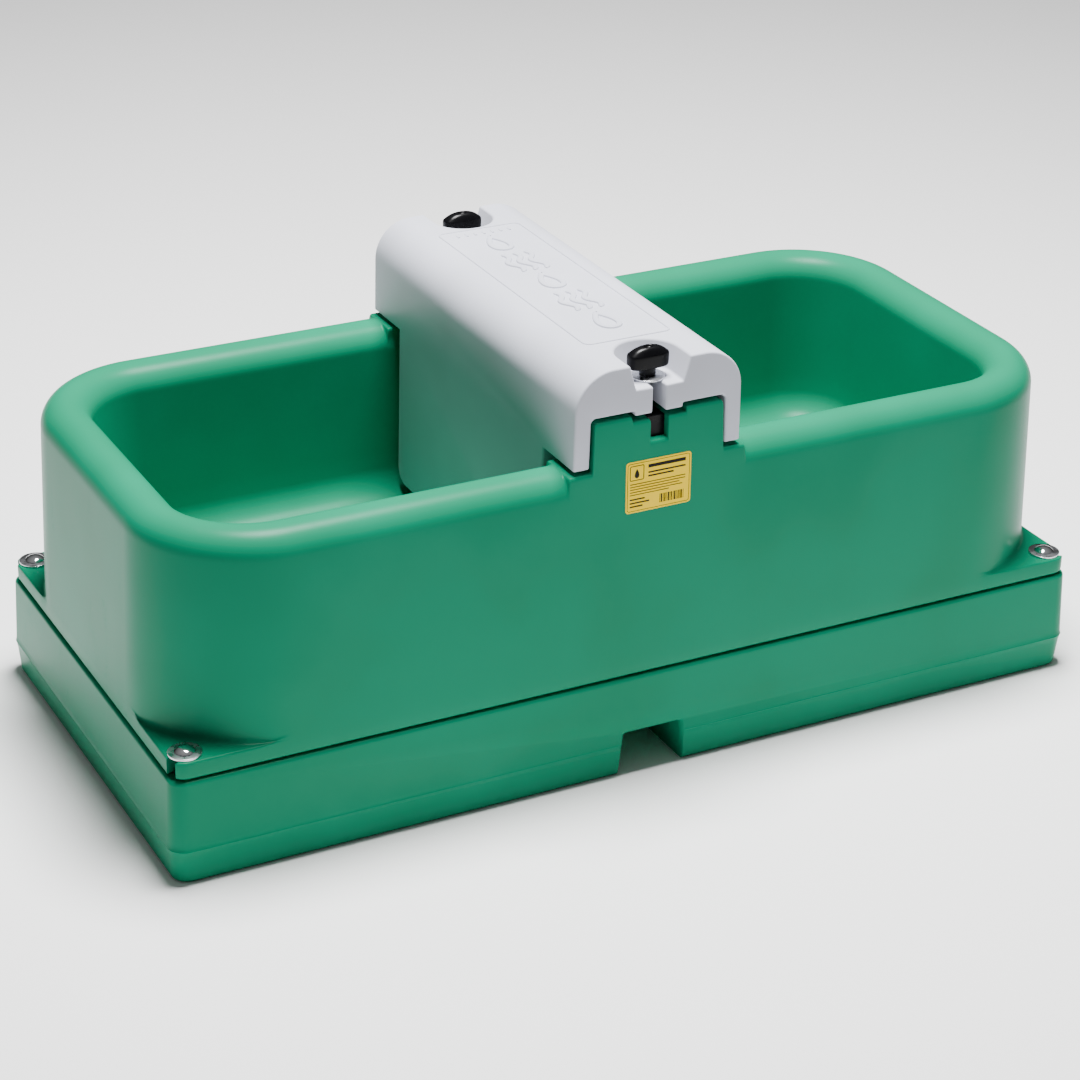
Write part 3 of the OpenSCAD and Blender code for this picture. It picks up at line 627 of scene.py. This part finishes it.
def trough_rings():
    cx, cy = PATH_X - PATH_R, PATH_Y - PATH_R
    angles = ([36 * i / 11 for i in range(1, 12)] + list(range(37, 54))
        + [54 + 36 * i / 11 for i in range(11)])
    half = side_stations()
    rings = []
    for i, (sx, sy) in enumerate(((1, 1), (-1, 1), (-1, -1), (1, -1))):
        from_end = i in (0, 2)
        if from_end:                                    # an end wall
            rings += [station(sx * PATH_X, sx * lerp(-cy, cy, k / 6), sx, 0, 1) for k in range(7)]
        for a in (angles if from_end else reversed(angles)):
            c, s = math.cos(math.radians(a)), math.sin(math.radians(a))
            rings.append(station(sx * (cx + PATH_R * c), sy * (cy + PATH_R * s), sx * c, sy * s, c * c))
        if from_end:                                    # a long side
            line = [(x, *tops) for x, *tops in reversed(half)] + [(-x, *tops) for x, *tops in half[1:]]
            rings += [station(sx * x, sy * PATH_Y, 0, sy, 0, tops) for x, *tops in line]
    return rings


def trough_mesh():
    rings = trough_rings()
    bm = skin(rings, around=False, ends=False)
    bm.verts.ensure_lookup_table()
    n = len(rings[0])
    under = [bm.verts[i * n] for i in range(len(rings))]
    floor = [bm.verts[i * n + n - 1] for i in range(len(rings))]
    bm.faces.new(under)
    bm.faces.new(floor)
    bmesh.ops.recalc_face_normals(bm, faces=bm.faces[:])
    return bm


body = trough_mesh()
print("trough", len(body.verts), "points, open edges:", sum(len(e.link_faces) != 2 for e in body.edges))
trough = solid("trough_body", body)

# %% [markdown]
# ## Cuts in the trough
#
# Each lobe has a slot, open to the corner, so that a bolt can slide in under its washer. The slot's
# edges are broken by a small radius. Under the deck are the foam-filling holes, and the floor has
# two holes for the supply riser and the drain. Four small ribs on the posts carry the cover's roof.

# %%
def slot_tool(x, y):
    """Slot about a bolt, open outwards, with its rim flared by a quarter round."""
    rings = []
    heights = [(DECK - 2 * MM, 1.5), (DECK, 1.5), (DECK + 1.5 * MM, 0)]
    heights += [(LEDGE - 2 * MM * (1 - math.sin(a)), 2 * (1 - math.cos(a)))
                for a in (math.radians(t) for t in (0, 30, 55, 75, 90))] + [(LEDGE + 3 * MM, 3)]
    heading = math.atan2(y, x)
    for z, grow in heights:
        r = 7.5 * MM + grow * MM
        plan = arc(0, 0, r, 90, 270, 16) + [(60 * MM, -r), (60 * MM, r)]
        c, s = math.cos(heading), math.sin(heading)
        rings.append([(x + u * c - v * s, y + u * s + v * c, z) for u, v in plan])
    return skin(rings)


carve(trough, solid("tool", *[slot_tool(x, y) for x, y in CORNERS]))
fills = [cylinder(sx * base_high.x * 0.4, sy * base_high.y * 0.4, DECK - 1 * MM, DECK + 6.5 * MM, 12 * MM)
         for sx in (1, -1) for sy in (1, -1)]
fills += [cylinder(0, RISER_Y, DECK - 1 * MM, FLOOR_Z + 5 * MM, 13 * MM),
          cylinder(0, DRAIN_Y, DECK - 1 * MM, FLOOR_Z + 5 * MM, 19.05 * MM)]
fills += [cylinder(0, s * (abs(KNOB_Y) - 13 * MM), POCKET_Z - 20 * MM, POCKET_Z + 1 * MM, 2.5 * MM, 24)
    for s in (1, -1)]
carve(trough, solid("tool", *fills))

ribs = []
for sx in (1, -1):
    for sy in (1, -1):
        plan = outline(10 * MM, 12 * MM, 2.5 * MM, 0, 4)
        x, y = sx * 62 * MM, sy * (TOWER_IN + 30 * MM)
        ribs.append(skin([[(x + u * k, y + v * k, z) for u, v, _ in plan] for z, k in (
            (TOWER_Z - 2 * MM, 1), (trough_high.z - 1.2 * MM, 1), (trough_high.z - 0.3 * MM, 0.97),
            (trough_high.z, 0.9))]))
carve(trough, solid("tool", *ribs), "UNION")
show(trough, "root", "green_plastic", GREEN, "trough_shell", "trough_insulation")

# %% [markdown]
# ## The cover
#
# The cover is a foam-filled saddle: a deep rounded roof across the trough and two legs that hang
# down inside it, so the water passes beneath. Its arch is one outline pulled along the trough's
# width and trimmed by the outline seen from the end. The knob recesses are round cups open to the
# ends, each with a slot in its floor. Every edge is then rounded by 4 mm, as a mould would leave it.

# %%
ROOF_Z, COVER_Z = TOWER_Z + 5 * MM, cover_high.z
ARCH_R, LEG, FOOT_Z = 50 * MM, 21 * MM, SHELF_Z + 5 * MM
SKIRT_Y = PATH_Y - RIM_R - 18 * MM


def arch_section():
    low, top = cover_high.x, cover_high.x - 4 * MM
    inner_low, inner_top, bevel = low - LEG, top - LEG, 4 * MM
    right = ([(inner_low, cover_low.z), (low, cover_low.z)]
        + arc(top - ARCH_R, COVER_Z - ARCH_R, ARCH_R, 0, 90, 18))
    left = [(-x, z) for x, z in reversed(right)]
    roof = [(-inner_top, ROOF_Z - bevel), (bevel - inner_top, ROOF_Z), (inner_top - bevel, ROOF_Z),
        (inner_top, ROOF_Z - bevel)]
    return right + left + roof


def pulled(points, low, high, along):
    """A flat outline pulled along Y or X."""
    if along == "Y":
        return skin([[(a, low, b) for a, b in points], [(a, high, b) for a, b in points]])
    return skin([[(low, a, b) for a, b in points], [(high, a, b) for a, b in points]])


def side_section():
    r = 22 * MM
    half = [(0, cover_low.z)] + arc(SKIRT_Y - r, cover_low.z + r, r, 270, 360, 8)
    half += [(SKIRT_Y, FOOT_Z)] + [(cover_high.y, FOOT_Z), (cover_high.y, COVER_Z)]
    return half + [(-y, z) for y, z in reversed(half[1:])]


cover = solid("cover_body", pulled(arch_section(), -0.33, 0.33, "Y"))
trim = solid("tool", pulled(side_section(), -0.2, 0.2, "X"))
carve(cover, trim, "INTERSECT")


def box_mesh(x0, x1, y0, y1, z0, z1):
    return skin([[(x0, y0, z), (x1, y0, z), (x1, y1, z), (x0, y1, z)] for z in (z0, z1)])


lug_in = abs(KNOB_Y) - 15 * MM
for s in (1, -1):
    y0, y1 = sorted((s * lug_in, s * cover_high.y))
    carve(cover, solid("tool", box_mesh(-32 * MM, 32 * MM, y0, y1, ROOF_Z - 6 * MM, ROOF_Z + 4 * MM)),
        "UNION")


def recess_tool(s):
    """Round cup for a knob, open to the end of the cover."""
    y, low, high = s * abs(KNOB_Y), COVER_Z - 31 * MM, COVER_Z
    rings = []
    for z, r in ((low, 31 * MM), (high, 40 * MM), (high + 10 * MM, 42.9 * MM)):
        back = arc(0, 0, r, 180, 0, 32)
        rings.append([(u, y - s * v, z) for u, v in back]
            + [(r, y + s * 60 * MM, z), (-r, y + s * 60 * MM, z)])
    return skin(rings)


def gap_tool(s):
    y, r = s * abs(KNOB_Y), 8.5 * MM
    plan = [(u, y - s * v) for u, v in arc(0, 0, r, 180, 0, 16)] + [(r, y + s * 60 * MM),
        (-r, y + s * 60 * MM)]
    return skin([[(u, v, z) for u, v in plan] for z in (ROOF_Z - 9 * MM, COVER_Z - 29 * MM)])


for s in (1, -1):
    carve(cover, solid("tool", recess_tool(s)))
    carve(cover, solid("tool", gap_tool(s)))
soften(cover, 4.5 * MM, 5)
plugs = [cylinder(0, s * 80 * MM, ROOF_Z - 1 * MM, ROOF_Z + 4 * MM, 10 * MM) for s in (1, -1)]
carve(cover, solid("tool", *plugs))
show(cover, "cover", "light_grey_plastic", GREY, "cover_shell", "cover_insulation")

# %% [markdown]
# ## Relief on the cover
#
# A thin raised line frames the roof, and a column of large raised figures runs down the middle
# with a short row at the back. They are moulded with the roof. Here the figures are generic: water
# drops, waves and small bars. Each is a bead along a curve, half sunk in the roof.

# %%
def bead(name, loops, radius, flat=0.55):
    """Round beads along lines on the roof. A loop is (points, closed); points are (x, y) in metres."""
    meshes = []
    for points, closed in loops:
        count = len(points)
        rings = []
        for i, (x, y) in enumerate(points):
            ax, ay = points[(i - 1) % count] if closed or i else points[0]
            bx, by = points[(i + 1) % count] if closed or i < count - 1 else points[-1]
            length = math.hypot(bx - ax, by - ay)
            nx, ny = -(by - ay) / length, (bx - ax) / length
            ends = ((0.35, 0.75, 0.95) if not closed and count > 8 else ())
            k = ends[min(i, count - 1 - i)] if min(i, count - 1 - i) < len(ends) else 1.0
            ring = []
            for j in range(10):
                a = math.tau * j / 10
                ring.append((x + nx * radius * k * math.cos(a), y + ny * radius * k * math.cos(a),
                             COVER_Z - 0.2 * MM + radius * flat * k * math.sin(a)))
            rings.append(ring)
        meshes.append(skin(rings, ends=not closed))
    return solid(name, *meshes)


def drop(cx, cy, size, steps=40):
    """Outline of a water drop with its tip towards the back."""
    loop = []
    for i in range(steps):
        t = math.tau * i / steps
        loop.append((cx + size * 0.62 * math.sin(t) * math.sin(t / 2) ** 1.1, cy + size * 0.9 * math.cos(t)))
    return loop


def wave(cx, cy, wide, tall, turns=1.5, steps=36):
    return [(cx + tall * math.sin(math.tau * turns * i / steps), cy + wide * (i / steps - 0.5))
        for i in range(steps + 1)]


frame_line = [(x, y) for x, y, _ in outline(57 * MM, 201 * MM, 9 * MM, 0, 8)]
show(bead("roof_frame", [(frame_line, True)], 1.5 * MM, 1.0), "cover", "light_grey_plastic", GREY)
figures = [(drop(0, y * MM, 26 * MM), True) for y in (-142, 0, 142)]
for y in (-71, 71):
    figures += [(wave(x * MM, y * MM, 62 * MM, 5 * MM), False) for x in (-16, 0, 16)]
show(bead("roof_figures", figures, 4.0 * MM, 0.8), "cover", "light_grey_plastic", GREY)
bars = [([(x * MM, (184 + d) * MM) for d in (-4, -2, 0, 2, 4)], False) for x in range(-36, 37, 12)]
show(bead("roof_bars", bars, 1.5 * MM, 0.9), "cover", "light_grey_plastic", GREY)

# %% [markdown]
# ## Wing knobs
#
# Each knob is a moulded wing about 52 mm long on a round neck. It starts as a round collar, spreads
# into the wing and closes over a low dome with a small hollow where the moulding shrank. Rings that
# change from round to a flattened oval, then one level of subdivision, give that shape.

# %%
def oval(hx, hy, power, z, steps=48):
    ring = []
    for i in range(steps):
        a = math.tau * i / steps
        c, s = math.cos(a), math.sin(a)
        ring.append((hx * math.copysign(abs(c) ** (2 / power), c),
            hy * math.copysign(abs(s) ** (2 / power), s), z))
    return ring


def knob_mesh(y, bottom, top):
    """Rings given as half length, half width, squareness and height above the bottom, in mm."""
    rows = [(9.2, 9.2, 2, 0), (9.9, 9.9, 2, 0.4), (9.9, 9.9, 2, 1.4), (9.9, 9.9, 2, 9.4),
        (10.1, 9.9, 2, 10.0),
            (14, 10.4, 2.4, 10.35), (22, 11.0, 3.0, 10.5), (24.8, 11.4, 3.2, 10.8), (25.5, 11.6, 3.2, 11.8),
            (25.9, 11.8, 3.2, 18), (25.9, 11.9, 3.2, 25.6), (25.6, 11.7, 3.1, 27.0), (24.2, 10.9, 3.0, 28.2),
            (20.5, 9.4, 2.8, 31.2), (15.6, 7.6, 2.5, 33.8), (10.6, 5.9, 2.3, 35.2), (7.0, 4.6, 2.1, 35.4),
            (5.8, 4.0, 2, 35.0), (4.9, 3.4, 2, 33.4), (3.0, 2.1, 2, 32.6), (1.2, 0.9, 2, 32.5)]
    scale = (top - bottom) / 35.45
    rings = []
    for hx, hy, power, z in rows:
        rings.append([(x * MM, y + v * MM, bottom + z * scale) for x, v, _ in oval(hx, hy, power, 0)])
    return skin(rings)


for side in ("front", "back"):
    low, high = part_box(f"{side}_knob")
    knob = solid(f"{side}_wing_knob", knob_mesh((low.y + high.y) / 2, low.z, high.z))
    m = knob.modifiers.new("smooth", "SUBSURF")
    m.levels = m.render_levels = 1
    bake(knob)
    show(knob, f"{side}_knob", "black_plastic", BLACK, f"{side}_knob", sharp=60)

# %% [markdown]
# ## Washers, bolts and studs
#
# Washers are stamped, so one edge is rounded and the other is crisp. Each corner bolt is a steel
# shank under a low polished dome. All are turned shapes, so each is a half section spun round.

# %%
def washer_mesh(x, y, z0, z1, r, bore):
    c = 0.5 * MM
    loop = [(bore, z0), (r - c * 0.4, z0), (r, z0 + c * 0.5)] + arc(r - c, z1 - c, c, 0, 90,
        3) + [(bore + c * 0.6, z1), (bore, z1 - c * 0.6)]
    rings = []
    for radius, z in loop:
        rings.append([(x + radius * math.cos(math.tau * i / 72), y
            + radius * math.sin(math.tau * i / 72), z) for i in range(72)])
    return skin(rings, ends=False)


low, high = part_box("corner_washers")
corner_washers = solid("corner_steel_washers",
    *[washer_mesh(x, y, low.z, high.z, 20 * MM, 5.5 * MM) for x, y in CORNERS])
show(corner_washers, "root", "stainless_steel", WASHER, "corner_washers")
for side in ("front", "back"):
    low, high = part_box(f"{side}_washer")
    piece = solid(f"{side}_knob_washer",
        washer_mesh(0, (low.y + high.y) / 2, low.z, high.z, (high.x - low.x) / 2, 5.4 * MM))
    show(piece, f"{side}_washer", "stainless_steel", WASHER, f"{side}_washer")


def bolt_mesh(x, y, z0, seat, top, r):
    rise = top - seat - 0.9 * MM
    dome = (r * r + rise * rise) / (2 * rise)
    sweep = math.degrees(math.asin(r / dome))
    head = [(dome * math.sin(math.radians(sweep * (1 - i / 14))),
             top - dome + dome * math.cos(math.radians(sweep * (1 - i / 14)))) for i in range(14)]
    shank = [(0, z0), (4.2 * MM, z0), (4.95 * MM, z0 + 1 * MM), (4.95 * MM, seat - 0.5 * MM),
        (5.0 * MM, seat)]
    return turn(shank + [(r - 0.4 * MM, seat), (r, seat + 0.3 * MM)] + head + [(0, top)], (x, y, 0))


low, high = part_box("corner_bolts")
bolts = solid("corner_dome_bolts",
    *[bolt_mesh(x, y, low.z, high.z - 6 * MM, high.z, 12.3 * MM) for x, y in CORNERS])
show(bolts, "root", "stainless_steel", BRIGHT, "corner_bolts")

# %% [markdown]
# ## The label
#
# A printed vinyl label sits on the front wall and leans with it. It carries only generic marks: a
# framed drop, ruled lines, three short lines and a row of bars. The marks are raised slabs a tenth
# of a millimetre thick, so they read cleanly at any distance.

# %%
def slab(points, z0, z1):
    return skin([[(x, y, z) for x, y in points] for z in (z0, z1)])


def bar(x, y, w, h, z0=0.3 * MM, z1=0.4 * MM):
    """A rectangle on the label, from its left edge and middle height, in millimetres."""
    return slab([(x * MM, (y - h / 2) * MM), ((x + w) * MM, (y - h / 2) * MM),
                 ((x + w) * MM, (y + h / 2) * MM), (x * MM, (y + h / 2) * MM)], z0, z1)


def frame_mark(x, y, hx, hy, r, line, z0=0.3 * MM, z1=0.4 * MM):
    """A hollow rounded frame."""
    outer = outline(hx * MM, hy * MM, r * MM, 0, 6)
    inner = outline((hx - line) * MM, (hy - line) * MM, max(r - line, 0.2) * MM, 0, 6)
    rings = [[(x * MM + u, y * MM + v, z) for u, v, _ in loop] for loop,
        z in ((outer, z0), (outer, z1), (inner, z1), (inner, z0))]
    return skin(rings, ends=False)


lean = math.atan(SLOPE)
half_w, half_h = (label_high.x - label_low.x) / 2, 32.5 * MM
stand = Matrix.Translation((0, (label_low.y + label_high.y) / 2 + 0.2 * MM,
    (label_low.z + label_high.z) / 2)) \
    @ Matrix.Rotation(math.radians(90) - lean, 4, "X")
plate = solid("wall_label", slab([(x, y) for x, y, _ in outline(half_w, half_h, 4 * MM, 0, 8)], 0, 0.3 * MM))
marks = [frame_mark(0, 0, 41.5, 30.5, 3, 0.6), frame_mark(-29, 18, 9.5, 9.5, 2, 1.0)]
marks.append(slab([(-29 * MM + x, 17.2 * MM + y) for x, y in drop(0, 0, 6.5 * MM, 28)], 0.3 * MM, 0.4 * MM))
marks += [bar(-14, y, w, h) for y, w, h in ((24, 50, 4.2), (16, 50, 2.0), (11.5, 34, 2.0))]
marks += [bar(-38, y, w, 1.0) for y, w in ((4, 74), (0.6, 74), (-2.8, 66), (-6.2, 70), (-9.6, 52))]
marks += [bar(-38, y, w, 1.8) for y, w in ((-15.5, 20), (-20, 26), (-24.5, 17))]
x = 2.0
for i in range(15):
    wide = (0.7, 1.4, 0.7, 2.0)[i * 7 % 4]
    marks.append(bar(x, -20, wide, 11))
    x += wide + (0.9, 1.3, 0.8)[i % 3]
ink = solid("wall_label_marks", *marks)
for piece in (plate, ink):
    piece.data.transform(stand)
show(plate, "root", "yellow_label", YELLOW, "rating_label")
show(ink, "root", "yellow_label", INK)

# %% [markdown]
# ## Pieces carried over from the frame
#
# The valve, riser, float, drain and sealing pieces are already the right shape in the frame: they
# are turned and drilled parts. They keep their exact geometry and only take a finish.

# %%
FINISHES = {
    "stainless_steel": PIPE, "cast_brass": BRASS, "black_rubber": RUBBER, "black_plastic": BLACK,
    "white_plastic": WHITE, "light_grey_plastic": GREY, "green_plastic": GREEN, "foam_filling": FOAM,
}
SLOTS = {}
for part in frame["record"]["subparts"]:
    SLOTS[part.get("node") or part.get("name")] = part.get("material_slot") or part.get("material")
for name, piece in sorted(frame["nodes"].items()):
    if piece.hide_render:
        continue
    finish = THREAD if name.endswith("_stud") else FINISHES.get(SLOTS.get(name), RUBBER)
    piece.data.materials.clear()
    piece.data.materials.append(finish)
    print(name, finish.name)

# %% [markdown]
# ## Floor, light and camera
#
# A plain pale floor, a bright soft sky overhead and a large soft lamp give high-key light: top
# faces are bright, upright faces darker, and the shadow at the foot is short and soft.

# %%
floor_mesh = bmesh.new()
bmesh.ops.create_grid(floor_mesh, x_segments=2, y_segments=2, size=30)
floor = solid("studio_floor", floor_mesh)
paper = Finish("studio_paper", roughness=0.9, base_color=(0.93, 0.93, 0.93, 1))
floor.data.materials.append(paper.material)
floor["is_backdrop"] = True

world = bpy.data.worlds.new("studio")
bpy.context.scene.world = world
world.use_nodes = True
tree = world.node_tree
back = tree.nodes["Background"]
where = tree.nodes.new("ShaderNodeTexCoord")
split = tree.nodes.new("ShaderNodeSeparateXYZ")
rise = tree.nodes.new("ShaderNodeMapRange")
rise.inputs["From Min"].default_value, rise.inputs["From Max"].default_value = 0.15, 0.95
rise.inputs["To Min"].default_value, rise.inputs["To Max"].default_value = 0.15, 5.6
tree.links.new(where.outputs["Generated"], split.inputs[0])
tree.links.new(split.outputs["Z"], rise.inputs["Value"])
tree.links.new(rise.outputs[0], back.inputs["Strength"])


def lamp(name, place, target, size, power):
    data = bpy.data.lights.new(name, "AREA")
    data.shape, data.size, data.energy = "DISK", size, power
    made = bpy.data.objects.new(name, data)
    made.location = place
    made.rotation_euler = (Vector(target) - Vector(place)).to_track_quat("-Z", "Y").to_euler()
    bpy.context.scene.collection.objects.link(made)
    return made


lamp("top_lamp", (0.15, 0.12, 3.4), (0, 0, 0.3), 1.3, 420)

AZIMUTH, ELEVATION, ROLL = math.radians(-27.672), math.radians(26.357), math.radians(1.100)
DISTANCE, AIM = 2.9682 * LENGTH, Vector((-0.0055, 0, 0.1471)) * LENGTH
away = Vector((math.sin(AZIMUTH) * math.cos(ELEVATION), -math.cos(AZIMUTH) * math.cos(ELEVATION),
    math.sin(ELEVATION)))
right = Vector((math.cos(AZIMUTH), math.sin(AZIMUTH), 0))
up = away.cross(right)
right, up = right * math.cos(ROLL) + up * math.sin(ROLL), up * math.cos(ROLL) - right * math.sin(ROLL)
lens = bpy.data.cameras.new("camera")
lens.lens, lens.sensor_width = 96.12, 36
camera = bpy.data.objects.new("camera", lens)
camera.matrix_world = Matrix.Translation(AIM
    + away * DISTANCE) @ Matrix((right, up, away)).transposed().to_4x4()
bpy.context.scene.collection.objects.link(camera)
bpy.context.scene.camera = camera
print("camera at", [round(v, 3) for v in camera.location])

# %%
low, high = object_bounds()
print("model box", [round(v, 4) for v in (*low, *high)])
